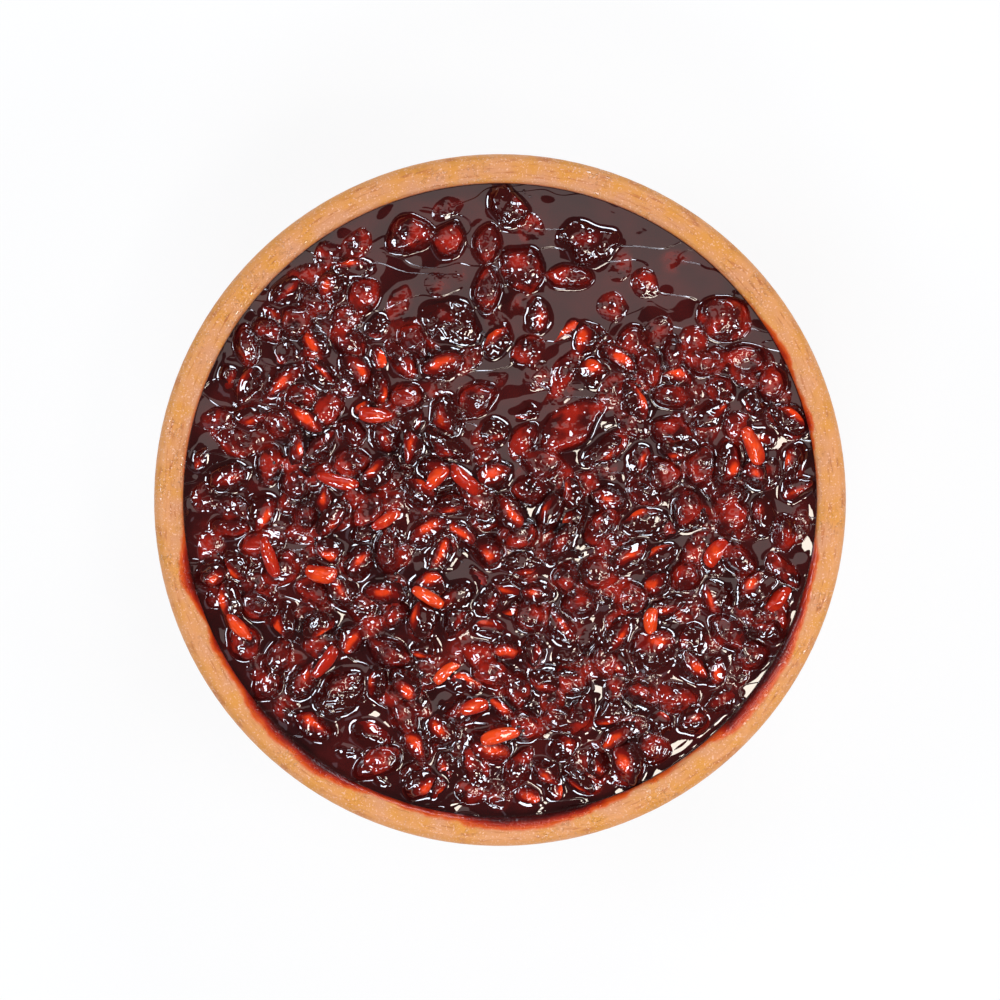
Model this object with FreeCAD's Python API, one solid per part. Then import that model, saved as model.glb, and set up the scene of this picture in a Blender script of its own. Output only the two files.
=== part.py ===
"""A turned wooden bowl heaped with pomegranate paste: seeds in a thick dark syrup.

Two pieces: the bowl, and the paste that fills it. Millimetres, +Z up, with the origin at the
centre of the foot, on the surface that the bowl stands on.
"""

import FreeCAD, Part

import math
import os
import random

# Bowl, turned from one block of wood
RIM_DIAMETER = 136.0
BOWL_HEIGHT = 48.0
RIM_WALL = 5.8
RIM_FALL = 0.35  # the top of the rim falls this much towards the mouth
RIM_OUTER_ROUND = 2.4
RIM_INNER_ROUND = 1.3
BELLY_DROP = 9.0  # from the top of the rim down to where the wall stands upright
BELLY_FULLNESS = 0.62
FLOOR_THICKNESS = 7.0
FLOOR_DIAMETER = 36.0
CAVITY_FULLNESS = 0.60
FOOT_DIAMETER = 62.0
FOOT_HEIGHT = 2.8
FOOT_ROUND = 0.9
FOOT_RING = 7.0
FOOT_HOLLOW = 1.2

# Syrup: it is lowest along the wall, and heaped a little in front of the bowl's middle
FILL_DROP = 0.6  # from where the mouth starts to round over, down to the syrup at the wall
HEAP_RISE = 2.8
HEAP_WIDTH = 92.0
HEAP_DEPTH = 78.0
HEAP_SHIFT = 9.0  # the top of the heap lies this far from the bowl's axis, towards -Y
WALL_CALM = 4  # the higher it is, the nearer to the wall the heap and the swells reach
SWELL_HEIGHT = 0.225
SWELL_LENGTH = 33.0
SWELLS = [(1.0, 0.8, 0.5), (1.0, -0.8, 1.3), (-1.0, 1.7, 0.0)]  # each as (along X, along Y, lead)
SURFACE_PITCH = 10.0  # between the points that shape the syrup's surface

# Fruit that stands out of the syrup: clumps of seeds stuck together, seeds in their flesh, and kernels
CLUMP_LENGTH = 14.5
CLUMP_WIDTH = 9.0
CLUMP_TRIES = 9  # each kind is dropped this many times at random, and stays where it lies clear
ARIL_LENGTH = 8.2
ARIL_WIDTH = 5.8
ARIL_TRIES = 3200
KERNEL_LENGTH = 7.4
KERNEL_WIDTH = 3.3
KERNEL_TRIES = 900
SIZE_SPREAD = 0.15
OVERLAP = 0.45  # how far two neighbours may press into each other, as seen from above
WALL_CLEARANCE = 0.8
SINK_MIN = 0.04  # the axis of a seed lies this share of its width below the syrup, or more
SINK_MAX = 0.28
TILT_MAX = 10.0
END_COVER = 0.25  # both ends of a seed lie at least this far under the syrup
BLUNT_SHARE = 0.44  # of a seed's length, from its blunt end to its widest ring
BLUNT_FULLNESS = 0.5523  # makes a quarter curve an ellipse
TIP_FULLNESS = 0.40
TIP_WIDTH_SHARE = 0.67  # of a seed's width, a little behind its tip
SCATTER_SEED = 11

UP = FreeCAD.Vector(0, 0, 1)
ALONG = FreeCAD.Vector(1, 0, 0)
ACROSS = FreeCAD.Vector(0, 1, 0)
ORIGIN = FreeCAD.Vector(0, 0, 0)
NEAR = 1e-4  # two measures this close are the same

outer_radius = RIM_DIAMETER / 2
mouth_radius = outer_radius - RIM_WALL
mouth_height = BOWL_HEIGHT - RIM_FALL
belly_height = BOWL_HEIGHT - BELLY_DROP
fill_height = mouth_height - RIM_INNER_ROUND - FILL_DROP


def at(radius, height):
    """A point of an outline, beside the Z axis."""
    return FreeCAD.Vector(radius, 0, height)


def line(start, end):
    return Part.makeLine(start, end)


def curve(*poles):
    bezier = Part.BezierCurve()
    bezier.setPoles(list(poles))
    return bezier.toShape()


def turned(edges, axis):
    """The solid that a closed outline sweeps in one turn round an axis through the origin."""
    outline = Part.Face(Part.Wire(Part.sortEdges(edges)[0]))
    return outline.revolve(ORIGIN, axis, 360)


def wall_curve(foot, belly, fullness):
    """A bowl's wall: it leaves its foot level, and stands upright where it reaches its belly."""
    low = at(foot.x + fullness * (belly.x - foot.x), foot.z)
    high = at(belly.x, belly.z - fullness * (belly.z - foot.z))
    return curve(foot, low, high, belly)


def cavity_edges():
    """The inside of the bowl, from the middle of its floor up to its upright wall."""
    floor_edge = at(FLOOR_DIAMETER / 2, FLOOR_THICKNESS)
    floor = line(at(0, FLOOR_THICKNESS), floor_edge)
    return [floor, wall_curve(floor_edge, at(mouth_radius, belly_height), CAVITY_FULLNESS)]


def foot_edges():
    """The foot: a ring to stand on, round a shallow hollow."""
    foot_radius = FOOT_DIAMETER / 2
    hollow_radius = foot_radius - FOOT_RING
    return [line(at(0, FOOT_HOLLOW), at(hollow_radius, FOOT_HOLLOW)),
            line(at(hollow_radius, FOOT_HOLLOW), at(hollow_radius, 0)),
            line(at(hollow_radius, 0), at(foot_radius, 0)),
            line(at(foot_radius, 0), at(foot_radius, FOOT_HEIGHT))]


def rounded(solid, radius, height, size):
    """The solid with its circular edge of this radius, at this height, rounded over."""
    ring = [edge for edge in solid.Edges
            if abs(edge.BoundBox.ZMin - height) < NEAR and abs(edge.BoundBox.ZMax - height) < NEAR
            and abs(edge.BoundBox.XMax - radius) < NEAR]
    return solid.makeFillet(size, ring)


def make_bowl():
    foot_radius = FOOT_DIAMETER / 2
    belly = wall_curve(at(foot_radius, FOOT_HEIGHT), at(outer_radius, belly_height), BELLY_FULLNESS)
    rim = [line(at(outer_radius, belly_height), at(outer_radius, BOWL_HEIGHT)),
           line(at(outer_radius, BOWL_HEIGHT), at(mouth_radius, mouth_height)),
           line(at(mouth_radius, mouth_height), at(mouth_radius, belly_height))]
    axis_line = line(at(0, FLOOR_THICKNESS), at(0, FOOT_HOLLOW))
    bowl = turned(foot_edges() + [belly] + rim + cavity_edges() + [axis_line], UP)
    bowl = rounded(bowl, outer_radius, BOWL_HEIGHT, RIM_OUTER_ROUND)
    bowl = rounded(bowl, mouth_radius, mouth_height, RIM_INNER_ROUND)
    bowl = rounded(bowl, foot_radius, 0, FOOT_ROUND)
    return rounded(bowl, foot_radius - FOOT_RING, 0, FOOT_ROUND)


def syrup_height(x, y):
    """The level of the syrup: a low heap, with slow swells over it, that dies out at the wall."""
    calm = max(0.0, 1 - (math.hypot(x, y) / mouth_radius) ** WALL_CALM)
    heap = HEAP_RISE * math.exp(-(2 * x / HEAP_WIDTH) ** 2 - (2 * (y + HEAP_SHIFT) / HEAP_DEPTH) ** 2)
    turn = 2 * math.pi / SWELL_LENGTH
    swell = SWELL_HEIGHT * sum(math.sin(turn * (along * x + across * y) + lead)
                               for along, across, lead in SWELLS)
    return fill_height + calm * (heap + swell)


def syrup_surface():
    """A smooth sheet through a square grid of points, a little wider than the mouth."""
    steps = math.ceil(2 * (mouth_radius + SURFACE_PITCH) / SURFACE_PITCH)
    places = [SURFACE_PITCH * (step - steps / 2) for step in range(steps + 1)]
    sheet = Part.BSplineSurface()
    sheet.interpolate([[FreeCAD.Vector(x, y, syrup_height(x, y)) for y in places] for x in places])
    return sheet.toShape()


def syrup_body():
    """What fills the cavity, up to the surface of the syrup."""
    top = BOWL_HEIGHT + HEAP_RISE
    above = [line(at(mouth_radius, belly_height), at(mouth_radius, top)),
             line(at(mouth_radius, top), at(0, top)),
             line(at(0, top), at(0, FLOOR_THICKNESS))]
    return turned(cavity_edges() + above, UP).common(syrup_surface().extrude(-UP * top))


def seed(length, width):
    """An egg-shaped seed that lies along X, with its widest ring at the origin."""
    blunt = BLUNT_SHARE * length
    tip = length - blunt
    half = width / 2
    back = at(-blunt, 0)
    crown = at(0, half)
    front = at(tip, 0)
    rear = curve(back, at(-blunt, BLUNT_FULLNESS * half), at(-BLUNT_FULLNESS * blunt, half), crown)
    nose = curve(crown, at(BLUNT_FULLNESS * tip, half), at(tip, TIP_FULLNESS * half), front)
    return turned([rear, nose, line(front, back)], ALONG)


def seed_discs(x, y, bearing, length, width):
    """Three discs, as (x, y, radius), that cover a seed as it is seen from above."""
    half = width / 2
    tip = TIP_WIDTH_SHARE * half
    spots = [(half - BLUNT_SHARE * length, half), (0, half), ((1 - BLUNT_SHARE) * length - tip, tip)]
    return [(x + reach * math.cos(bearing), y + reach * math.sin(bearing), radius)
            for reach, radius in spots]


def resting_height(x, y, turn, length, width, sink):
    """The height at which a seed lies: sunk into the syrup, with both of its ends covered."""
    height = syrup_height(x, y) - sink * width
    for reach in (-BLUNT_SHARE * length, (1 - BLUNT_SHARE) * length):
        end = turn.multVec(ALONG * reach)
        height = min(height, syrup_height(x + end.x, y + end.y) - END_COVER - end.z)
    return height


def lies_clear(discs, taken):
    """Whether a seed stands off the wall, and presses into no neighbour by more than OVERLAP."""
    if any(math.hypot(x, y) + radius > mouth_radius - WALL_CLEARANCE for x, y, radius in discs):
        return False
    return all(math.dist(one[:2], other[:2]) > one[2] + other[2] - OVERLAP
               for one in discs for other in taken)


def drop_seed(chance, usual_length, usual_width, taken):
    """A seed dropped by chance, turned, tilted and sunk, or None if something is in its place."""
    size = 1 + chance.uniform(-SIZE_SPREAD, SIZE_SPREAD)
    length = size * usual_length
    width = size * usual_width
    reach = mouth_radius * math.sqrt(chance.random())
    direction = chance.uniform(0, 2 * math.pi)
    x = reach * math.cos(direction)
    y = reach * math.sin(direction)
    bearing = chance.uniform(0, 2 * math.pi)
    tilt = chance.uniform(-TILT_MAX, TILT_MAX)
    sink = chance.uniform(SINK_MIN, SINK_MAX)
    discs = seed_discs(x, y, bearing, length, width)
    if not lies_clear(discs, taken):
        return None
    taken += discs
    turn = FreeCAD.Rotation(UP, math.degrees(bearing)).multiply(FreeCAD.Rotation(ACROSS, tilt))
    place = FreeCAD.Vector(x, y, resting_height(x, y, turn, length, width, sink))
    dropped = seed(length, width)
    dropped.Placement = FreeCAD.Placement(place, turn)
    return dropped


def scattered_fruit():
    """Clumps first, then whole seeds, and kernels in what room is left."""
    chance = random.Random(SCATTER_SEED)
    taken = []
    drops = [drop_seed(chance, length, width, taken)
             for length, width, tries in [(CLUMP_LENGTH, CLUMP_WIDTH, CLUMP_TRIES),
                                          (ARIL_LENGTH, ARIL_WIDTH, ARIL_TRIES),
                                          (KERNEL_LENGTH, KERNEL_WIDTH, KERNEL_TRIES)]
             for _ in range(tries)]
    return [fruit for fruit in drops if fruit]


def make_paste():
    return syrup_body().fuse(scattered_fruit())


os.makedirs("parts", exist_ok=True)
for node, shape in [("bowl", make_bowl()), ("pomegranate_paste", make_paste())]:
    solid = shape.Solids[0]
    print(node, "valid", solid.isValid(), "solids", len(shape.Solids), "cm3", round(solid.Volume / 1000, 2))
    solid.exportStep("parts/" + node + ".step")
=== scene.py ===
import math
from collections import namedtuple

import bmesh
import bpy
import numpy as np
from mathutils import Euler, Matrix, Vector
from mathutils.bvhtree import BVHTree


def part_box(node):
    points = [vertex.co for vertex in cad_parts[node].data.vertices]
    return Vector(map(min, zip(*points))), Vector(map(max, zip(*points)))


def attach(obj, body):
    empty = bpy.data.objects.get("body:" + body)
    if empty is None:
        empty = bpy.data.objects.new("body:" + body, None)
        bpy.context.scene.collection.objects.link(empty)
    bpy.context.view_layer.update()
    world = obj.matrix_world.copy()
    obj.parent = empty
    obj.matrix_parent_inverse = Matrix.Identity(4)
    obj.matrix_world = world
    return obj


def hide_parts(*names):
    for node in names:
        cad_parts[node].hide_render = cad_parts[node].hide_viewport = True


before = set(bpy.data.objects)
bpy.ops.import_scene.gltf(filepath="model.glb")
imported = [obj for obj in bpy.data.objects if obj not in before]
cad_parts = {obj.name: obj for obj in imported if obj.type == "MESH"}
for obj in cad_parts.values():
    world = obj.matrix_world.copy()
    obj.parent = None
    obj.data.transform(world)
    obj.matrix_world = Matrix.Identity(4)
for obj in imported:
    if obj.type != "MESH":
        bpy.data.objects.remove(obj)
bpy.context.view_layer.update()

# The bowl is turned from one block of light hardwood, sanded and oiled. Short pores run round its
# rim, its outer edge has gone amber from handling, and syrup has soaked into the wood along the
# mouth, where it lies as a thin wet film. The inner wall just under the rim is painted dark all
# round as painted shade.

bowl_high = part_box("bowl")[1]
paste_low, paste_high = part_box("pomegranate_paste")
rim_radius = bowl_high[0]
rim_height = bowl_high[2]
mouth_radius = paste_high[0]
rim_width = rim_radius - mouth_radius

TAN = (0.64, 0.272, 0.125, 1)
AMBER_EDGE = (0.72, 0.298, 0.100, 1)
AMBER_FIGURE = (0.68, 0.268, 0.040, 1)
BROWN_MARKS = (0.50, 0.155, 0.040, 1)
PALE_PORES = (0.78, 0.420, 0.250, 1)
ORANGE_STAIN = (0.62, 0.082, 0.009, 1)
RED_STAIN = (0.38, 0.017, 0.004, 1)
# the dark of a thick syrup film, also used as painted shade on the inner wall under the rim
DARK_FILM_AND_WALL_SHADE = (0.050, 0.0045, 0.004, 1)
MARKS_ROUND = 15.0  # the higher these are, the shorter the marks of the lathe round the bowl
MARKS_ACROSS = 1900.0  # and across its wall
FIGURE_SCALE = 190.0
PORE_SCALE = 2600.0
DROP_SCALE = 1500.0
STAIN_WIDTH = 0.0028
CLEAN_WAY = (-0.35, 0.94)  # syrup has kept off this side of the rim
STAIN_FOOT = (0.66, 0.72)  # shares of the rim's height, between which the stain ends


def connect(tree, value, target):
    """Links a socket to an input, or gives the input a plain value."""
    if isinstance(value, bpy.types.NodeSocket):
        tree.links.new(value, target)
    else:
        target.default_value = value


def node(tree, kind, settings=(), **inputs):
    """Adds a node. Each input is named with _ for a space, and takes a socket or a plain value."""
    made = tree.nodes.new(kind)
    for name, value in dict(settings).items():
        setattr(made, name, value)
    for name, value in inputs.items():
        key = int(name[1:]) if name[0] == "i" and name[1:].isdigit() else name.replace("_", " ")
        connect(tree, value, made.inputs[key])
    return made


def math_node(tree, operation, first, second, third=0.0):
    return node(tree, "ShaderNodeMath", {"operation": operation}, i0=first, i1=second, i2=third).outputs[0]


def step_node(tree, value, start, end):
    """A smooth step from 0 where the value is at start to 1 where it is at end."""
    settings = {"interpolation_type": "SMOOTHSTEP"}
    return node(tree, "ShaderNodeMapRange", settings, Value=value, From_Min=start, From_Max=end).outputs[0]


def mix_node(tree, share, first, second):
    return node(tree, "ShaderNodeMix", {"data_type": "RGBA"}, i0=share, i6=first, i7=second).outputs[2]


def noise_node(tree, vector, scale, detail):
    return node(tree, "ShaderNodeTexNoise", Vector=vector, Scale=scale, Detail=detail).outputs[0]


def new_material(name):
    """An empty material, with its node tree, its shader and the coordinates of the object."""
    material = bpy.data.materials.new(name)
    material.use_nodes = True
    tree = material.node_tree
    tree.nodes.clear()
    shader = tree.nodes.new("ShaderNodeBsdfPrincipled")
    output = tree.nodes.new("ShaderNodeOutputMaterial")
    tree.links.new(shader.outputs[0], output.inputs["Surface"])
    place = tree.nodes.new("ShaderNodeTexCoord").outputs["Object"]
    return material, tree, shader, place


def set_shader(tree, shader, **inputs):
    for name, value in inputs.items():
        connect(tree, value, shader.inputs[name.replace("_", " ")])


def bowl_places(tree, place):
    """The height of a point, its distance from the bowl's axis, and which way it lies from there."""
    x, y, z = node(tree, "ShaderNodeSeparateXYZ", i0=place).outputs
    flat = node(tree, "ShaderNodeCombineXYZ", i0=x, i1=y).outputs[0]
    radius = node(tree, "ShaderNodeVectorMath", {"operation": "LENGTH"}, i0=flat).outputs[1]
    bearing = node(tree, "ShaderNodeVectorMath", {"operation": "NORMALIZE"}, i0=flat).outputs[0]
    side_x, side_y, _ = node(tree, "ShaderNodeSeparateXYZ", i0=bearing).outputs
    return z, radius, side_x, side_y


def lathe_marks(tree, z, radius, side_x, side_y):
    """Marks that run long round the bowl and short across its wall, as the lathe cut them."""
    across = math_node(tree, "ADD", radius, math_node(tree, "MULTIPLY", z, 0.8))
    point = node(tree, "ShaderNodeCombineXYZ", i0=math_node(tree, "MULTIPLY", side_x, MARKS_ROUND),
                 i1=math_node(tree, "MULTIPLY", side_y, MARKS_ROUND),
                 i2=math_node(tree, "MULTIPLY", across, MARKS_ACROSS)).outputs[0]
    return noise_node(tree, point, 1.0, 3.0)


def clean_wood(tree, place, radius, marks, pores):
    """The colour of the wood where no syrup has reached it."""
    edge = step_node(tree, radius, rim_radius - 0.75 * rim_width, rim_radius - 0.15 * rim_width)
    colour = mix_node(tree, edge, TAN, AMBER_EDGE)
    figure = noise_node(tree, place, FIGURE_SCALE, 4.0)
    colour = mix_node(tree, step_node(tree, figure, 0.34, 0.70), colour, AMBER_FIGURE)
    colour = mix_node(tree, step_node(tree, marks, 0.52, 0.74), colour, BROWN_MARKS)
    return mix_node(tree, step_node(tree, pores, 0.58, 0.72), colour, PALE_PORES)


def stain_edge(tree, place, side_x, side_y):
    """The distance from the axis to which syrup has climbed over the mouth, on each side."""
    wander = math_node(tree, "MULTIPLY_ADD", noise_node(tree, place, 260.0, 3.0), 0.22,
                       noise_node(tree, place, 34.0, 2.0))
    clean_side = math_node(tree, "ADD", math_node(tree, "MULTIPLY", side_x, CLEAN_WAY[0]),
                           math_node(tree, "MULTIPLY", side_y, CLEAN_WAY[1]))
    spread = math_node(tree, "MULTIPLY", step_node(tree, wander, 0.44, 0.80),
                       step_node(tree, clean_side, 0.80, -0.05))
    return math_node(tree, "MULTIPLY_ADD", spread, STAIN_WIDTH, mouth_radius)


def stained(tree, colour, depth, z, inward):
    """The wood's colour under a film of syrup that thins out from dark to orange, with painted shade on the
    inner wall just under the rim.
    """
    colour = mix_node(tree, step_node(tree, depth, -0.0004, 0.0004), colour, ORANGE_STAIN)
    colour = mix_node(tree, step_node(tree, depth, 0.0002, 0.0012), colour, RED_STAIN)
    inner = math_node(tree, "LESS_THAN", inward, rim_radius - 0.5 * rim_width)
    # painted shade: the inner wall from just under the rim down towards the syrup is darkened all round,
    # wherever the stain reaches
    below = math_node(tree, "MULTIPLY", step_node(tree, z, rim_height - 0.0008, rim_height - 0.0019), inner)
    film_and_wall_shade = math_node(tree, "MAXIMUM", step_node(tree, depth, 0.0008, 0.0022), below)
    return mix_node(tree, film_and_wall_shade, colour, DARK_FILM_AND_WALL_SHADE)


def wood_material():
    material, tree, shader, place = new_material("oiled_wood")
    z, radius, side_x, side_y = bowl_places(tree, place)
    marks = lathe_marks(tree, z, radius, side_x, side_y)
    pores = noise_node(tree, place, PORE_SCALE, 1.0)
    # the outside of the bowl, lower down, is as narrow as its mouth, and stays clean
    low = step_node(tree, z, STAIN_FOOT[1] * rim_height, STAIN_FOOT[0] * rim_height)
    inward = math_node(tree, "MULTIPLY_ADD", low, rim_radius, radius)
    depth = math_node(tree, "SUBTRACT", stain_edge(tree, place, side_x, side_y), inward)
    colour = stained(tree, clean_wood(tree, place, radius, marks, pores), depth, z, inward)
    # tiny drops and a wet film shine on the inner half of the rim
    drops = math_node(tree, "MULTIPLY", step_node(tree, noise_node(tree, place, DROP_SCALE, 1.0), 0.58, 0.68),
                      step_node(tree, noise_node(tree, place, 150.0, 1.0), 0.48, 0.60))
    near_mouth = step_node(tree, radius, rim_radius - 0.25 * rim_width, rim_radius - 0.75 * rim_width)
    film = math_node(tree, "MAXIMUM", drops, step_node(tree, depth, -0.0002, 0.0004))
    wet = math_node(tree, "MULTIPLY", film, near_mouth)
    rough = math_node(tree, "MULTIPLY_ADD", wet, -0.30, 0.46)
    relief = math_node(tree, "ADD", marks, math_node(tree, "MULTIPLY_ADD", drops, 3.0, pores))
    bump = node(tree, "ShaderNodeBump", Strength=0.6, Distance=0.00012, Height=relief).outputs[0]
    set_shader(tree, shader, Base_Color=colour, Roughness=rough, Normal=bump, Specular_IOR_Level=0.35,
               Coat_Weight=drops, Coat_Roughness=0.05)
    return material


wood = wood_material()
for slot in bpy.data.objects["bowl"].material_slots:
    slot.material = wood

# The fruit is pomegranate seeds that were cooked in their juice, with a few bare kernels and clumps
# among them. It is laid into the bowl piece by piece: each sinks to the lowest of a few places, rests
# on those below, and is pressed into them.

FILL_DROP = 0.0022
HEAP_RISE = 0.0026
HEAP_WIDTH = 0.092
HEAP_DEPTH = 0.078
HEAP_SHIFT = 0.009  # the heap is highest this far from the bowl's axis, towards -Y
SWELL_HEIGHT = 0.00045
SWELL_LENGTH = 0.033
CELL = 0.00025  # of the maps that hold a height for each place
WINDOW = 0.010  # no piece of fruit reaches further than this from its middle
BED_DEPTH = 0.0034  # from the syrup down to what the first of the fruit lies on
BED_SWELL = 0.0007
POOL_DEPTH = 0.0024  # the bed lies this much deeper under a pool of clear syrup
POOL_CORNER = (-0.030, 0.031)  # one pool fills the bowl from here towards +X and +Y
POOL_FADE = (0.010, 0.008)
POOL_RAGGED = 0.004  # how far its edge wanders
SMALL_POOL = (0.001, 0.024)
SMALL_POOL_SIZE = (0.011, 0.006)
IN_POOL = 0.6  # a place is in a pool where its share is over this
OUT_OF_POOL = 0.5  # and out of it where its share is under this
WALL_GAP = 0.0004
AT_WALL = 0.92  # of the mouth's radius
RESTING_PERCENT = 85  # of what lies under a piece is lower than what it rests on
SEED_LENGTH = 0.0079
SEED_WIDTH = 0.0053
SEED_ROUNDNESS = (0.65, 0.95)  # thickness as a share of width
KERNEL_LENGTH = 0.0072
KERNEL_WIDTH = 0.0030
LENGTH_SPREAD = 0.22
WIDTH_SPREAD = 0.18
PRESS = 0.0011  # how far a piece is pressed into those below it; under 0 it is held up instead
LOW = 0.0006  # how far the middle of a seed may lie over the syrup
GAP_LOW = 0.0016  # and that of one in a gap
GAP_DEPTH = 0.0002  # a gap lies at least this far under the syrup
WALL_SEEDS = 70
FIRST_SEEDS = 330
GAP_SEEDS = 220
POOL_SEEDS = 60
CLUMP_SEEDS = 30
KERNEL_COUNT = 20
CLUMP_WIDTH = 0.0092
CLUMP_THICKNESS = 0.0050
CLUMP_SINK = 0.0004
CLUMPS = ((0.017, 0.051, 0.014, 0.3), (-0.010, 0.035, 0.012, -0.5), (-0.031, -0.037, 0.014, 0.5),
          (0.004, 0.045, 0.010, 1.9), (0.030, -0.030, 0.011, 0.1), (0.044, 0.036, 0.011, 2.5),
          (0.014, 0.014, 0.015, 0.6), (-0.018, 0.052, 0.010, 0.2), (0.001, 0.058, 0.009, 1.6))
COATED_CLUMPS = (3, 5, 6, 7)  # these lie under a film of syrup
BY_CLUMP = (0.006, 0.005)  # how far seeds stray from a clump, along X and Y
FILM_REACH = 0.0008  # what stands out of the syrup by less than this is under a film of it
COATED_SHARE = 0.40  # of the seeds that stand out further
COATED_MORE = 0.35  # is added to that share in a pool
DEEPEST_SHOWN = 0.0012  # what lies deeper under the syrup is left out

Fruit = namedtuple("Fruit", "kind x y z bearing length width thickness")

chance = np.random.default_rng(7)
fill_level = rim_height - FILL_DROP
half_window = int(WINDOW / CELL)
lanes = int(mouth_radius / CELL) + half_window
lane = np.arange(-lanes, lanes + 1) * CELL
grid_x, grid_y = np.meshgrid(lane, lane, indexing="ij")
inside = np.hypot(grid_x, grid_y) < mouth_radius + 2 * CELL


def crossing_waves(x, y, count, shortest, longest):
    """Waves of random lengths and directions that cross each other, from about -1 to 1."""
    total = np.zeros(np.shape(x))
    for _ in range(count):
        turn = chance.uniform(0, 2 * math.pi)
        pace = 2 * math.pi / chance.uniform(shortest, longest)
        total += np.sin(pace * (x * math.cos(turn) + y * math.sin(turn)) + chance.uniform(0, 2 * math.pi))
    return total / math.sqrt(count)


def heaped_level(x, y):
    """The level of the syrup: a low heap with slow swells over it, that dies out at the wall."""
    calm = np.clip(1 - (np.hypot(x, y) / mouth_radius) ** 4, 0, None)
    heap = HEAP_RISE * np.exp(-(2 * x / HEAP_WIDTH) ** 2 - (2 * (y + HEAP_SHIFT) / HEAP_DEPTH) ** 2)
    turn = 2 * math.pi / SWELL_LENGTH
    long_swell = np.sin(turn * x + 0.9) * np.cos(turn * 0.8 * y - 0.4)
    cross_swell = np.sin(turn * (1.7 * y - x)) / 2
    return fill_level + calm * (heap + SWELL_HEIGHT * (long_swell + cross_swell))


def pool_share(x, y):
    """How far a place lies inside a pool of clear syrup, from 0 to 1."""
    ragged = POOL_RAGGED * crossing_waves(x, y, count=8, shortest=0.012, longest=0.030)
    large = (np.clip((y + ragged - POOL_CORNER[1]) / POOL_FADE[1], 0, 1)
             * np.clip((x + ragged - POOL_CORNER[0]) / POOL_FADE[0], 0, 1))
    small = np.exp(-((x - SMALL_POOL[0]) / SMALL_POOL_SIZE[0]) ** 2
                   - ((y - SMALL_POOL[1]) / SMALL_POOL_SIZE[1]) ** 2)
    return np.clip(large + small, 0, 1)


level = heaped_level(grid_x, grid_y)
pool = pool_share(grid_x, grid_y)
bed_waves = crossing_waves(grid_x, grid_y, count=9, shortest=0.009, longest=0.022)
bed = level - BED_DEPTH - POOL_DEPTH * pool + BED_SWELL * bed_waves
pool_cells = np.argwhere(inside & (pool > IN_POOL))
window = np.arange(-half_window, half_window + 1) * CELL
window_x, window_y = np.meshgrid(window, window, indexing="ij")


def half_thickness(length, width, thickness, bearing):
    """That of a piece of fruit, at each place of the window round its middle, or -1 outside it."""
    along = window_x * math.cos(bearing) + window_y * math.sin(bearing)
    over = window_y * math.cos(bearing) - window_x * math.sin(bearing)
    left = 1 - (2 * along / length) ** 2 - (2 * over / width) ** 2
    return np.where(left > 0, thickness / 2 * np.sqrt(np.clip(left, 0, 1)), -1)


def cell_of(x, y):
    return lanes + int(round(x / CELL)), lanes + int(round(y / CELL))


def cells_round(x, y):
    row, column = cell_of(x, y)
    return (slice(row - half_window, row + half_window + 1),
            slice(column - half_window, column + half_window + 1))


def clears_wall(x, y, bearing, length, width):
    """Whether a piece fits in beside the wall, given which way it points."""
    outward = bearing - math.atan2(y, x)
    reach = math.hypot(length / 2 * math.cos(outward), width / 2 * math.sin(outward))
    return math.hypot(x, y) + reach < mouth_radius - WALL_GAP


def resting_height(x, y, bearing, length, width, thickness):
    under = bed[cells_round(x, y)][half_thickness(length, width, thickness, bearing) > 0]
    return np.percentile(under, RESTING_PERCENT) + thickness / 2


def place_beyond(least):
    """A place inside the mouth, at least this share of its radius from the middle."""
    reach = mouth_radius * math.sqrt(chance.uniform(least ** 2, 1))
    turn = chance.uniform(0, 2 * math.pi)
    return reach * math.cos(turn), reach * math.sin(turn)


def any_place():
    return place_beyond(0)


def place_at_wall():
    return place_beyond(AT_WALL)


def place_in(cells):
    row, column = cells[chance.integers(len(cells))]
    return lane[row], lane[column]


def place_in_pool():
    return place_in(pool_cells)


def open_place():
    """A place where the syrup would show, because no seed reaches up to it yet."""
    return place_in(open_cells)


def place_by_clump():
    x, y = CLUMPS[chance.integers(len(CLUMPS))][:2]
    return x + chance.normal(0, BY_CLUMP[0]), y + chance.normal(0, BY_CLUMP[1])


def lowest_place(find, length, width, thickness, tries):
    """The lowest of a few places in which a piece fits, as (height over the syrup, x, y, z, bearing).

    A place in a pool counts as higher than it is, so that the pool stays open.
    """
    best = None
    for _ in range(tries):
        x, y = find()
        bearing = chance.uniform(0, 2 * math.pi)
        if clears_wall(x, y, bearing, length, width):
            z = resting_height(x, y, bearing, length, width, thickness)
            stand = z - level[cell_of(x, y)] + POOL_DEPTH * pool[cell_of(x, y)]
            if best is None or stand < best[0]:
                best = (stand, x, y, z, bearing)
    return best


def settle(item):
    """Adds a piece to the fruit, and raises the bed to its top."""
    near = cells_round(item.x, item.y)
    half = half_thickness(item.length, item.width, item.thickness, item.bearing)
    bed[near] = np.where(half > 0, np.maximum(bed[near], item.z + half), bed[near])
    fruit.append(item)


def uneven(size, spread):
    return size * chance.uniform(1 - spread, 1 + spread)


def lay_in(kind, find, tries, highest, roundness, press, usual_length=SEED_LENGTH, usual_width=SEED_WIDTH):
    """Lays in one piece of fruit, unless even the lowest place found for it is too high."""
    length = uneven(usual_length, LENGTH_SPREAD)
    width = uneven(usual_width, WIDTH_SPREAD)
    thickness = width * chance.uniform(*roundness)
    place = lowest_place(find, length, width, thickness, tries)
    if place is not None and place[0] - press <= highest:
        _, x, y, z, bearing = place
        settle(Fruit(kind, x, y, z - press, bearing, length, width, thickness))


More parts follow.
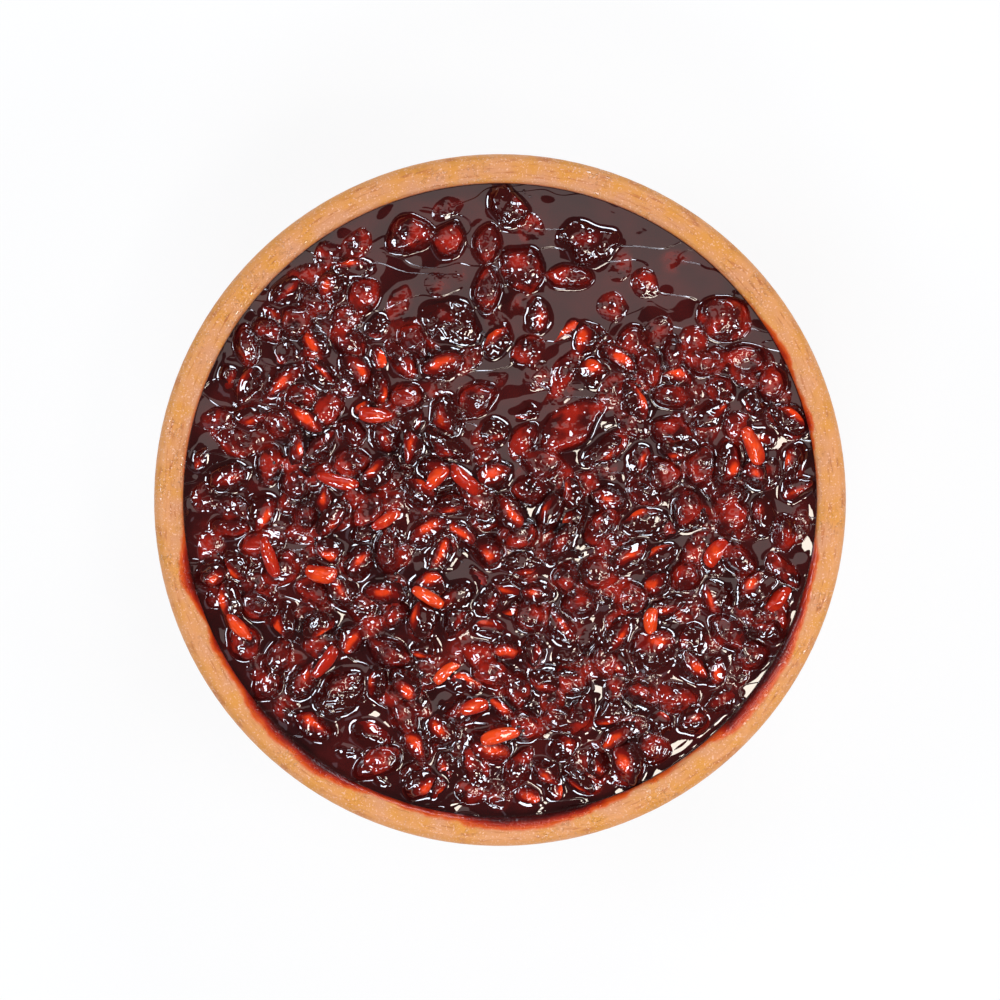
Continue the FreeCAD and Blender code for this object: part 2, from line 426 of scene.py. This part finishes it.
fruit = []
for number, (x, y, length, bearing) in enumerate(CLUMPS):
    kind = "coated_clump" if number in COATED_CLUMPS else "clump"
    z = level[cell_of(x, y)] - CLUMP_SINK
    settle(Fruit(kind, x, y, z, bearing, length, CLUMP_WIDTH, CLUMP_THICKNESS))
for _ in range(WALL_SEEDS):
    lay_in("seed", place_at_wall, tries=24, highest=LOW, roundness=SEED_ROUNDNESS, press=PRESS)
for _ in range(FIRST_SEEDS):
    lay_in("seed", any_place, tries=9, highest=LOW, roundness=SEED_ROUNDNESS, press=PRESS)
for _ in range(GAP_SEEDS):
    open_cells = np.argwhere((bed < level - GAP_DEPTH) & inside & (pool < OUT_OF_POOL))
    lay_in("seed", open_place, tries=6, highest=GAP_LOW, roundness=SEED_ROUNDNESS, press=PRESS)
# seeds in a pool float, and those by a clump hold on to it
for _ in range(POOL_SEEDS):
    lay_in("seed", place_in_pool, tries=4, highest=0.0020, roundness=(0.5, 0.8), press=-0.0014)
for _ in range(CLUMP_SEEDS):
    lay_in("seed", place_by_clump, tries=5, highest=0.0048, roundness=(0.5, 0.9), press=-0.0024)
for _ in range(KERNEL_COUNT):
    lay_in("kernel", any_place, tries=5, highest=0.0040, roundness=(0.8, 0.9), press=0.0013,
           usual_length=KERNEL_LENGTH, usual_width=KERNEL_WIDTH)


def stands_out(item):
    """How far the top of a piece stands over the syrup."""
    return item.z + item.thickness / 2 - level[cell_of(item.x, item.y)]


def under_film(item):
    """Whether a piece keeps a film of syrup all over it."""
    if item.kind == "seed":
        likely = COATED_SHARE + COATED_MORE * pool[cell_of(item.x, item.y)]
        return stands_out(item) < FILM_REACH or chance.random() < likely
    if item.kind == "kernel":
        return stands_out(item) < FILM_REACH
    return item.kind == "coated_clump"


showing = [item for item in fruit if stands_out(item) > -DEEPEST_SHOWN]
coated = [item for item in showing if under_film(item)]
bare = [item for item in showing if item not in coated]

# The seeds are wet and glossy, each in dark red flesh with a painted glow of light through it: bright on its
# top over the kernel, and dark at its sides as painted shade. Some are still plump, and some have shrunk and
# folded. Each was pressed flat in places by its neighbours in the pan.

DARK_FLESH = (0.044, 0.0030, 0.0026, 1)
BRIGHT_FLESH = (0.18, 0.0050, 0.003, 1)
# the colour where the painted glow of light through the flesh is brightest, over the kernel
KERNEL_AND_PAINTED_GLOW = (0.86, 0.052, 0.008, 1)
FOLD_SCALE = 680.0
FOLD_DEPTH = 0.00075
WET_ROUGHNESS = 0.02
WET_IOR = 1.9
NOSE_TAPER = 0.36
PLUMP = 0.80  # a plump seed is thicker than this share of its width
SEED_DIVISIONS = 4


def of_kind(items, kind):
    return [item for item in items if item.kind == kind]


def round_sphere(divisions):
    shape = bmesh.new()
    bmesh.ops.create_icosphere(shape, subdivisions=divisions, radius=1.0)
    return shape


def joined(name, template, shapes, tints, glows):
    """One mesh that holds a copy of the template for each shape, with a tint and a painted glow of light for
    each.
    """
    crowd = bmesh.new()
    single = bpy.data.meshes.new("single")
    template.to_mesh(single)
    for _ in shapes:
        crowd.from_mesh(single)
    mesh = bpy.data.meshes.new(name)
    crowd.to_mesh(mesh)
    crowd.free()
    bpy.data.meshes.remove(single)
    mesh.vertices.foreach_set("co", np.concatenate(shapes).ravel())
    tint = mesh.attributes.new("tint", "FLOAT", "POINT")
    tint.data.foreach_set("value", np.repeat(tints, len(template.verts)))
    # the glow attribute holds each piece's painted glow of light
    glow = mesh.attributes.new("glow", "FLOAT", "POINT")
    glow.data.foreach_set("value", np.concatenate(glows))
    mesh.update()
    return mesh


def mesh_piece(mesh, material):
    """A piece of the same name as its mesh, that rides on the root."""
    piece = bpy.data.objects.new(mesh.name, mesh)
    bpy.context.scene.collection.objects.link(piece)
    mesh.materials.append(material)
    mesh.polygons.foreach_set("use_smooth", np.ones(len(mesh.polygons), dtype=bool))
    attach(piece, "root")
    return piece


def placed(points, item, roll, pitch):
    """A unit shape at the size of a piece of fruit, turned and moved to where that came to rest."""
    half = np.array((item.length, item.width, item.thickness)) / 2
    turn = np.array(Euler((roll, pitch, item.bearing)).to_matrix())
    return (points * half) @ turn.T + np.array((item.x, item.y, item.z))


def pressed(points, flats, deep):
    """Presses flat facets into a unit shape, as its neighbours in the pan did."""
    for _ in range(flats):
        way = chance.normal(size=3)
        way /= np.linalg.norm(way)
        over = np.clip(points @ way - chance.uniform(deep, 0.95), 0, None)
        points = points - 0.9 * over[:, None] * way
    return points


def wrinkled(points, depth, waves, pitch):
    """Folds the skin of a unit shape in several crossing waves."""
    swell = np.zeros(len(points))
    for _ in range(waves):
        way = chance.normal(size=3)
        way *= pitch * chance.uniform(0.7, 1.3) / np.linalg.norm(way)
        swell += np.sin(points @ way + chance.uniform(0, 2 * math.pi))
    return points * (1 + depth * swell / math.sqrt(waves))[:, None]


def seed_shape(unit, item):
    points = unit.copy()
    nose = np.clip(points[:, 0], 0, 1)
    points[:, 1:] *= (1 - NOSE_TAPER * nose ** 1.6)[:, None]
    points[:, 1] += chance.uniform(-0.22, 0.22) * (points[:, 0] ** 2 - 0.4)
    points = pressed(points, flats=chance.integers(2, 8), deep=0.58)
    points = wrinkled(points, depth=chance.uniform(0.02, 0.07), waves=5, pitch=6.5)
    points = wrinkled(points, depth=chance.uniform(0.0, 0.024), waves=7, pitch=17.0)
    return placed(points, item, roll=chance.normal(0, 0.25), pitch=chance.normal(0, 0.18))


def painted_glow_over_kernel(unit):
    """A painted glow of light through a seed's flesh at each point: highest on its top near the kernel inside
    it, and lowest at its sides, which it leaves in painted shade.
    """
    middle = np.array((chance.normal(0, 0.18), chance.uniform(-0.75, 0.60), 0.75))
    spread = np.array((chance.uniform(0.55, 1.0), chance.uniform(0.34, 0.62), 1.3))
    return 1 - np.linalg.norm((unit - middle) / spread, axis=1)


def fruit_mesh(name, items, divisions, shape, painted_glow_of=painted_glow_over_kernel):
    template = round_sphere(divisions)
    unit = np.array([vert.co for vert in template.verts])
    shapes = [shape(unit, item) for item in items]
    # each piece gets its painted glow of light here, stored on its points
    mesh = joined(name, template, shapes, chance.random(len(items)), [painted_glow_of(unit) for _ in items])
    template.free()
    return mesh


def new_group(name, inputs, output, output_kind):
    """A node group with named inputs and one output, as its tree and the ends to link inside it."""
    tree = bpy.data.node_groups.new(name, "ShaderNodeTree")
    for label, kind in inputs.items():
        tree.interface.new_socket(label, in_out="INPUT", socket_type=kind)
    tree.interface.new_socket(output, in_out="OUTPUT", socket_type=output_kind)
    return tree, tree.nodes.new("NodeGroupInput").outputs, tree.nodes.new("NodeGroupOutput").inputs[0]


def painted_glow_flesh_group():
    """The colour of flesh over a kernel, with painted light: dark at its sides as painted shade, and bright
    where a painted glow stands for light through the flesh over the kernel.
    """
    inputs = {"Place": "NodeSocketVector", "Tint": "NodeSocketFloat", "Glow": "NodeSocketFloat",
              "Dark": "NodeSocketColor", "Bright": "NodeSocketColor", "Kernel": "NodeSocketColor"}
    tree, given, result = new_group("flesh_with_painted_glow", inputs, "Colour", "NodeSocketColor")
    blotch = math_node(tree, "MULTIPLY_ADD", noise_node(tree, given["Place"], 420.0, 2.0), 0.9, -0.45)
    lively = math_node(tree, "MULTIPLY_ADD", given["Tint"], 0.66, blotch)
    share = math_node(tree, "ADD", given["Glow"], lively)
    colour = mix_node(tree, step_node(tree, share, 0.0, 0.72), given["Dark"], given["Bright"])
    colour = mix_node(tree, step_node(tree, share, 0.66, 1.22), colour, given["Kernel"])
    tree.links.new(colour, result)
    return tree


def skin_folds_group():
    """The height of the fine folds in a skin, which are as deep as their share says."""
    inputs = {"Place": "NodeSocketVector", "Scale": "NodeSocketFloat", "Share": "NodeSocketFloat"}
    tree, given, result = new_group("skin_folds", inputs, "Height", "NodeSocketFloat")
    folds = noise_node(tree, given["Place"], given["Scale"], 0.6)
    tree.links.new(math_node(tree, "MULTIPLY", folds, given["Share"]), result)
    return tree


def group_node(tree, group, **inputs):
    return node(tree, "ShaderNodeGroup", {"node_tree": group}, **inputs).outputs[0]


def attribute_node(tree, name):
    return node(tree, "ShaderNodeAttribute", {"attribute_name": name}).outputs["Fac"]


flesh_with_painted_glow = painted_glow_flesh_group()
skin_folds = skin_folds_group()


def flesh_material(name, dark, bright, kernel, fold_scale, fold_depth):
    material, tree, shader, place = new_material(name)
    # the flesh's colour follows the painted glow of light in the glow attribute, with painted shade where it
    # is low
    colour = group_node(tree, flesh_with_painted_glow, Place=place, Tint=attribute_node(tree, "tint"),
                        Glow=attribute_node(tree, "glow"), Dark=dark, Bright=bright, Kernel=kernel)
    folded_parts = step_node(tree, noise_node(tree, place, 240.0, 1.0), 0.34, 0.58)
    height = group_node(tree, skin_folds, Place=place, Scale=fold_scale, Share=folded_parts)
    bump = node(tree, "ShaderNodeBump", Strength=1.0, Distance=fold_depth, Height=height).outputs[0]
    set_shader(tree, shader, Base_Color=colour, Roughness=WET_ROUGHNESS, IOR=WET_IOR, Normal=bump)
    return material


flesh = flesh_material("cooked_flesh", DARK_FLESH, BRIGHT_FLESH, KERNEL_AND_PAINTED_GLOW, FOLD_SCALE, FOLD_DEPTH)
plump = [item for item in of_kind(bare, "seed") if item.thickness / item.width > PLUMP]
shrunken = [item for item in of_kind(bare, "seed") if item.thickness / item.width <= PLUMP]
plump_seeds = fruit_mesh("plump_seeds", plump, SEED_DIVISIONS, seed_shape)
mesh_piece(plump_seeds, flesh)
shrunken_seeds = fruit_mesh("shrunken_seeds", shrunken, SEED_DIVISIONS, seed_shape)
mesh_piece(shrunken_seeds, flesh)

# The kernels are seeds that lost their flesh in the pan. Each is a slim drop of orange-red woody
# shell under a wet skin, a little thicker at one end, and lies on the seeds below it.

# the bare kernels run from dark below to orange on top, by their painted glow of light
KERNEL_DARK = (0.10, 0.004, 0.003, 1)
KERNEL_RED = (0.46, 0.016, 0.005, 1)
KERNEL_ORANGE = (0.86, 0.065, 0.009, 1)
KERNEL_FOLD_SCALE = 620.0
KERNEL_FOLD_DEPTH = 0.0004
END_FULLNESS = 0.22
KERNEL_TAPER = 0.10


def kernel_shape(unit, item):
    points = unit.copy()
    fullness = (1 - points[:, 0] ** 2 + 0.02) ** -END_FULLNESS
    points[:, 1:] *= (fullness * (1 - KERNEL_TAPER * points[:, 0]))[:, None]
    points[:, 1] += chance.uniform(-0.30, 0.30) * (points[:, 0] ** 2 - 0.4)
    points = pressed(points, flats=2, deep=0.75)
    points = wrinkled(points, depth=0.02, waves=3, pitch=4.5)
    return placed(points, item, roll=chance.normal(0, 0.25), pitch=chance.normal(0, 0.14))


def painted_top_glow(unit):
    """A painted glow of light over all of a bare kernel, brightest on its top and darkest below as painted
    shade.
    """
    return chance.uniform(0.0, 0.45) + 0.45 * unit[:, 2]


kernel_skin = flesh_material("kernel_skin", KERNEL_DARK, KERNEL_RED, KERNEL_ORANGE,
                             KERNEL_FOLD_SCALE, KERNEL_FOLD_DEPTH)
kernels = fruit_mesh("kernels", of_kind(bare, "kernel"), SEED_DIVISIONS, kernel_shape, painted_top_glow)
mesh_piece(kernels, kernel_skin)

# The clumps are seeds and pulp that cooked together into dark lumps, larger than a seed and folded all
# over. They float in the syrup, with single seeds stuck to them.

CLUMP_DIVISIONS = 5
CLUMP_DIMNESS = 0.35  # the painted glow of light is this much dimmer on a clump than on a seed


def clump_shape(unit, item):
    points = pressed(unit.copy(), flats=9, deep=0.55)
    points = wrinkled(points, depth=0.09, waves=6, pitch=4.5)
    points = wrinkled(points, depth=0.02, waves=7, pitch=20.0)
    return placed(points, item, roll=chance.normal(0, 0.15), pitch=chance.normal(0, 0.10))


def clump_painted_glow(unit):
    # a dimmer painted glow of light through the clump, brightest on its top, with painted shade at its sides
    return painted_glow_over_kernel(unit) - CLUMP_DIMNESS


clumps = fruit_mesh("clumps", of_kind(bare, "clump"), CLUMP_DIVISIONS, clump_shape, clump_painted_glow)
mesh_piece(clumps, flesh)

# The syrup is pomegranate juice boiled down until it is thick, dark and glossy. It fills the bowl
# from wall to wall, climbs a little up every seed, and covers those that lie near its surface.

SYRUP_STEPS = 288
LOOK_FROM = 0.10  # the height from which the tops of the fruit are looked for
LOOK_DEPTH = 0.07
FILM = 0.00012  # the thickness of the film over a coated seed
FILM_RISE = 0.0024
FILM_SOFTNESS = 0.00035
CLIMB = 0.0011  # how far the syrup climbs up a bare seed
CLIMB_SOFTNESS = 0.0005
RIPPLE = 0.00022
POOL_STILLNESS = 0.00016  # the ripples are this much lower in a pool
SHORE = 0.002  # the ripples die out this near to the wall
RED_DEPTH = 0.0030  # fruit shows through the syrup down to here
RED_SOFTNESS = 0.0002
WALL_BITE = 0.0003  # the syrup reaches this far into the bowl's wall
FLOOR_RADIUS = 0.018
BELLY_HEIGHT = 0.039
WALL_FULLNESS = 0.60
RINGS_BELOW = 8
SYRUP_DARK = (0.028, 0.0032, 0.0034, 1)
SYRUP_LIGHT = (0.062, 0.0048, 0.0044, 1)
SUNK_DARK = (0.10, 0.005, 0.004, 1)
SUNK_BRIGHT = (0.36, 0.014, 0.006, 1)
LAYER_EDGES = (0.494, 0.506, 0.584, 0.596)  # the syrup's layers end where a noise passes these
LAYER_STEP = 0.19
SYRUP_RELIEF = 0.0006


def top_map(meshes):
    """The height of the top of some meshes over each cell of the grid, or -1 where there is none."""
    shape = bmesh.new()
    for mesh in meshes:
        shape.from_mesh(mesh)
    tree = BVHTree.FromBMesh(shape)
    shape.free()
    heights = np.full(level.shape, -1.0)
    down = Vector((0, 0, -1))
    for row, column in np.argwhere(inside):
        hit = tree.ray_cast(Vector((lane[row], lane[column], LOOK_FROM)), down, LOOK_DEPTH)[0]
        if hit:
            heights[row, column] = hit.z
    return heights


def blur(heights, spread):
    """A soft copy of a map, with features under spread smoothed away."""
    reach = int(3 * spread / CELL) + 1
    weights = np.exp(-0.5 * (np.arange(-reach, reach + 1) * CELL / spread) ** 2)
    weights /= weights.sum()
    for axis in (0, 1):
        heights = np.apply_along_axis(np.convolve, axis, heights, weights, "same")
    return heights


bare_tops = top_map([plump_seeds, shrunken_seeds, kernels, clumps])
# the coated fruit shows only as swellings of the syrup over it, so its own meshes are not kept
coated_seeds = fruit_mesh("coated_seeds", of_kind(coated, "seed"), SEED_DIVISIONS - 1, seed_shape)
coated_clumps = fruit_mesh("coated_clumps", of_kind(coated, "coated_clump"), CLUMP_DIVISIONS - 1,
                           clump_shape)
coat_tops = top_map([coated_seeds, coated_clumps])
bpy.data.meshes.remove(coated_seeds)
bpy.data.meshes.remove(coated_clumps)
ripple = crossing_waves(grid_x, grid_y, count=12, shortest=0.005, longest=0.013)
ripple *= RIPPLE - POOL_STILLNESS * pool
calm = level + ripple * np.clip((mouth_radius - np.hypot(grid_x, grid_y)) / SHORE, 0, 1)
climb = blur(np.clip(bare_tops - calm, 0, CLIMB), CLIMB_SOFTNESS)
coat_lift = blur(np.clip(coat_tops + FILM - calm, 0, FILM_RISE), FILM_SOFTNESS)
surface = calm + np.maximum(climb, coat_lift)
near_top = np.clip(1 - (calm - coat_tops) / RED_DEPTH, 0, 1) ** 1.5
redness = blur(np.where(coat_tops > 0, near_top, 0), RED_SOFTNESS)


def sampled(values, x, y):
    """The values of a map at any places between its cells."""
    row = np.clip(x / CELL + lanes, 0, values.shape[0] - 1.001)
    column = np.clip(y / CELL + lanes, 0, values.shape[1] - 1.001)
    near_row = row.astype(int)
    near_column = column.astype(int)
    part = column - near_column
    low = values[near_row, near_column] * (1 - part) + values[near_row, near_column + 1] * part
    high = values[near_row + 1, near_column] * (1 - part) + values[near_row + 1, near_column + 1] * part
    return low * (1 - (row - near_row)) + high * (row - near_row)


def wall_point(share):
    """The radius and height of the inside of the bowl, from its floor at 0 to its belly at 1."""
    floor = paste_low[2]
    outline = ((FLOOR_RADIUS, floor),
               (FLOOR_RADIUS + WALL_FULLNESS * (mouth_radius - FLOOR_RADIUS), floor),
               (mouth_radius, BELLY_HEIGHT - WALL_FULLNESS * (BELLY_HEIGHT - floor)),
               (mouth_radius, BELLY_HEIGHT))
    weights = ((1 - share) ** 3, 3 * share * (1 - share) ** 2, 3 * share ** 2 * (1 - share), share ** 3)
    return [sum(weight * point[axis] for weight, point in zip(weights, outline)) for axis in (0, 1)]


def round_sheet():
    """A square grid drawn into a disc that just reaches into the wall, with the syrup's surface on top."""
    shape = bmesh.new()
    bmesh.ops.create_grid(shape, x_segments=SYRUP_STEPS, y_segments=SYRUP_STEPS, size=1.0)
    square = np.array([vert.co for vert in shape.verts])
    # each square ring of the grid becomes a round one
    ring = np.maximum(np.abs(square[:, 0]), np.abs(square[:, 1]))
    wide = np.abs(square[:, 0]) >= np.abs(square[:, 1])
    safe = np.where(ring > 0, ring, 1)
    angle = np.where(wide, square[:, 1] / safe, square[:, 0] / safe) * math.pi / 4
    reach = ring * (mouth_radius + WALL_BITE)
    x = reach * np.where(wide, np.sign(square[:, 0]) * np.cos(angle), np.sin(angle))
    y = reach * np.where(wide, np.sin(angle), np.sign(square[:, 1]) * np.cos(angle))
    for vert, point in zip(shape.verts, np.column_stack([x, y, sampled(surface, x, y)])):
        vert.co = point
    return shape


def syrup_mesh():
    """The sheet of the syrup's surface, closed below along the inside of the bowl."""
    shape = round_sheet()
    edges = [edge for edge in shape.edges if edge.is_boundary]
    for step in range(RINGS_BELOW + 1):
        radius, height = wall_point(1 - step / RINGS_BELOW)
        made = bmesh.ops.extrude_edge_only(shape, edges=edges)["geom"]
        edges = [part for part in made if isinstance(part, bmesh.types.BMEdge)]
        for vert in {vert for edge in edges for vert in edge.verts}:
            outward = Vector((vert.co.x, vert.co.y, 0)).normalized()
            vert.co = outward * (radius + WALL_BITE) + Vector((0, 0, height - WALL_BITE))
    bmesh.ops.holes_fill(shape, edges=edges, sides=0)
    bmesh.ops.recalc_face_normals(shape, faces=shape.faces)
    bmesh.ops.triangulate(shape, faces=[face for face in shape.faces if len(face.verts) > 4])
    mesh = bpy.data.meshes.new("syrup")
    shape.to_mesh(mesh)
    shape.free()
    points = np.empty(len(mesh.vertices) * 3)
    mesh.vertices.foreach_get("co", points)
    points = points.reshape(-1, 3)
    red = mesh.attributes.new("fruit", "FLOAT", "POINT")
    red.data.foreach_set("value", sampled(redness, points[:, 0], points[:, 1]))
    return mesh


def layer_steps(tree, place):
    """The syrup lies in thin overlapping layers, whose edges show as fine steps."""
    stretched = node(tree, "ShaderNodeVectorMath", {"operation": "MULTIPLY"}, i0=place, i1=(0.7, 1.5, 1))
    layers = noise_node(tree, stretched.outputs[0], 52.0, 2.0)
    return math_node(tree, "ADD", step_node(tree, layers, *LAYER_EDGES[:2]),
                     step_node(tree, layers, *LAYER_EDGES[2:]))


def syrup_material():
    material, tree, shader, place = new_material("thick_syrup")
    fruit_near = attribute_node(tree, "fruit")
    clouds = noise_node(tree, place, 300.0, 3.0)
    fruit_seen = math_node(tree, "MULTIPLY", fruit_near, step_node(tree, clouds, 0.30, 0.62))
    depths = step_node(tree, noise_node(tree, place, 90.0, 3.0), 0.35, 0.70)
    shade = step_node(tree, noise_node(tree, place, 190.0, 1.0), 0.40, 0.62)
    colour = mix_node(tree, fruit_seen, mix_node(tree, depths, SYRUP_DARK, SYRUP_LIGHT),
                      mix_node(tree, shade, SUNK_DARK, SUNK_BRIGHT))
    skin = group_node(tree, skin_folds, Place=place, Scale=FOLD_SCALE,
                      Share=step_node(tree, fruit_near, 0.1, 0.9))
    relief = math_node(tree, "MULTIPLY_ADD", layer_steps(tree, place), LAYER_STEP, skin)
    bump = node(tree, "ShaderNodeBump", Strength=1.0, Distance=SYRUP_RELIEF, Height=relief).outputs[0]
    set_shader(tree, shader, Base_Color=colour, Roughness=WET_ROUGHNESS, IOR=WET_IOR, Normal=bump)
    return material


syrup_skin = syrup_material()
syrup = mesh_piece(syrup_mesh(), syrup_skin)
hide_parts("pomegranate_paste")

# The bubbles are what boiling has left in the syrup. They are skins of syrup round a little air, and
# stand in small groups on its surface, mostly beside seeds.

BUBBLE_GROUPS = 46
BUBBLE_RADII = (0.00016, 0.00042)
BUBBLE_SPREAD = 0.0011
BESIDE_SEED = 0.0001  # the syrup climbs at least this far beside a seed
BUBBLE_STAND = 0.2  # of its radius, from the syrup up to a bubble's middle
MOST_IN_GROUP = 7


def bubble_shapes(unit):
    """The bubbles of every group, each sunk nearly halfway into the syrup."""
    beside = np.argwhere((climb > BESIDE_SEED) & (bare_tops < surface) & inside)
    shapes = []
    for row, column in beside[chance.choice(len(beside), BUBBLE_GROUPS)]:
        for _ in range(chance.integers(1, MOST_IN_GROUP + 1)):
            x = lane[row] + chance.normal(0, BUBBLE_SPREAD)
            y = lane[column] + chance.normal(0, BUBBLE_SPREAD)
            cell = cell_of(x, y)
            if inside[cell] and bare_tops[cell] < surface[cell]:
                radius = chance.uniform(*BUBBLE_RADII)
                shapes.append(unit * radius + np.array((x, y, surface[cell] + BUBBLE_STAND * radius)))
    return shapes


template = round_sphere(2)
shapes = bubble_shapes(np.array([vert.co for vert in template.verts]))
even = [np.zeros(len(template.verts))] * len(shapes)
bubbles = joined("bubbles", template, shapes, np.zeros(len(shapes)), even)
template.free()
mesh_piece(bubbles, syrup_skin)

# The table is a plain white one, and so is the room. Three dim panels hang level over the bowl, and
# four bright windows, a warm lamp and a small near lamp stand round it and face it.

CAMERA_HEIGHT = 0.80  # over the rim
BOWL_SHARE = 0.694  # of the width of the view
FRAME_WIDTH = 2 * rim_radius / BOWL_SHARE
SENSOR = 0.036
TABLE_WHITE = (0.86, 0.86, 0.86, 1)
TABLE_GLOW = 0.88  # the share of plain white in what the camera sees of the table
SKY_LIGHT = 0.16
SKY_IN_MIRRORS = 0.04
WINDOW_LIGHT = 15.6
PINK = (1.0, 0.86, 0.84)
LILAC = (0.96, 0.84, 1.0)
DAYLIGHT = (0.78, 0.87, 1.0)
PANELS = (("ceiling_panel", (0, 0.25, 1.0), 0.84, 0.38, 0.64, PINK),
          ("right_panel", (0.50, -0.34, 1.0), 0.44, 0.26, 0.40, LILAC),
          ("left_panel", (-0.52, -0.30, 1.0), 0.44, 0.26, 0.40, LILAC))
LAMPS = (("front_window", (-0.12, -0.85, 0.95), 0.54, 0.27, WINDOW_LIGHT, DAYLIGHT),
         ("left_window", (-0.95, 0.15, 0.80), 0.50, 0.26, WINDOW_LIGHT, DAYLIGHT),
         ("back_window", (0.35, 0.95, 0.70), 0.54, 0.24, WINDOW_LIGHT, DAYLIGHT),
         ("right_window", (0.90, -0.30, 0.60), 0.42, 0.23, WINDOW_LIGHT, (0.86, 0.91, 1.0)),
         ("warm_lamp", (0.32, -0.30, 1.0), 0.13, 0.11, 14.3, (1.0, 0.90, 0.78)),
         ("near_lamp", (0.047, -0.039, rim_height + 0.25), 0.058, 0.048, 10.0, (1.0, 0.92, 0.80)))


def table_material():
    material, tree, shader, _ = new_material("white_table")
    set_shader(tree, shader, Base_Color=TABLE_WHITE, Roughness=0.6)
    path = tree.nodes.new("ShaderNodeLightPath")
    seen = math_node(tree, "MAXIMUM", path.outputs["Is Camera Ray"], path.outputs["Is Glossy Ray"])
    glow = node(tree, "ShaderNodeEmission", Color=(1, 1, 1, 1), Strength=1.0)
    blend = tree.nodes.new("ShaderNodeMixShader")
    tree.links.new(math_node(tree, "MULTIPLY", seen, TABLE_GLOW), blend.inputs[0])
    tree.links.new(shader.outputs[0], blend.inputs[1])
    tree.links.new(glow.outputs[0], blend.inputs[2])
    output = next(item for item in tree.nodes if item.type == "OUTPUT_MATERIAL")
    tree.links.new(blend.outputs[0], output.inputs["Surface"])
    return material


def make_table():
    shape = bmesh.new()
    bmesh.ops.create_grid(shape, x_segments=1, y_segments=1, size=3.0)
    mesh = bpy.data.meshes.new("table")
    shape.to_mesh(mesh)
    shape.free()
    table = bpy.data.objects.new("table", mesh)
    mesh.materials.append(table_material())
    bpy.context.scene.collection.objects.link(table)


def hang_lamp(name, place, width, depth, brightness, colour):
    """A flat lamp that hangs level. Its brightness is that of its face."""
    lamp = bpy.data.lights.new(name, "AREA")
    lamp.shape = "RECTANGLE"
    lamp.size = width
    lamp.size_y = depth
    lamp.energy = brightness * math.pi * width * depth
    lamp.color = colour
    lamp_object = bpy.data.objects.new(name, lamp)
    lamp_object.location = place
    lamp_object.visible_camera = False
    bpy.context.scene.collection.objects.link(lamp_object)
    return lamp_object


def light_room():
    """A white world, that lights the bowl and shows in wet surfaces less brightly than it is seen."""
    world = bpy.data.worlds.new("room")
    world.use_nodes = True
    bpy.context.scene.world = world
    tree = world.node_tree
    tree.nodes.clear()
    path = tree.nodes.new("ShaderNodeLightPath")
    plain = node(tree, "ShaderNodeMix", {"data_type": "FLOAT"}, i0=path.outputs["Is Glossy Ray"],
                 i2=SKY_LIGHT, i3=SKY_IN_MIRRORS).outputs[0]
    strength = node(tree, "ShaderNodeMix", {"data_type": "FLOAT"}, i0=path.outputs["Is Camera Ray"],
                    i2=plain, i3=1.0).outputs[0]
    sky = node(tree, "ShaderNodeBackground", Color=(1, 1, 1, 1), Strength=strength)
    output = tree.nodes.new("ShaderNodeOutputWorld")
    tree.links.new(sky.outputs[0], output.inputs[0])


def hang_camera():
    """A camera that looks straight down at the middle of the bowl."""
    camera = bpy.data.cameras.new("camera")
    camera.sensor_width = 1000 * SENSOR
    camera.lens = camera.sensor_width * CAMERA_HEIGHT / FRAME_WIDTH
    camera_object = bpy.data.objects.new("camera", camera)
    camera_object.location = (0, 0, rim_height + CAMERA_HEIGHT)
    bpy.context.scene.collection.objects.link(camera_object)
    bpy.context.scene.camera = camera_object


make_table()
for panel in PANELS:
    hang_lamp(*panel)
for lamp in LAMPS:
    towards_bowl = Vector((0, 0, rim_height)) - Vector(lamp[1])
    hang_lamp(*lamp).rotation_euler = towards_bowl.to_track_quat("-Z", "Y").to_euler()
light_room()
hang_camera()
bpy.context.scene.view_settings.view_transform = "Standard"
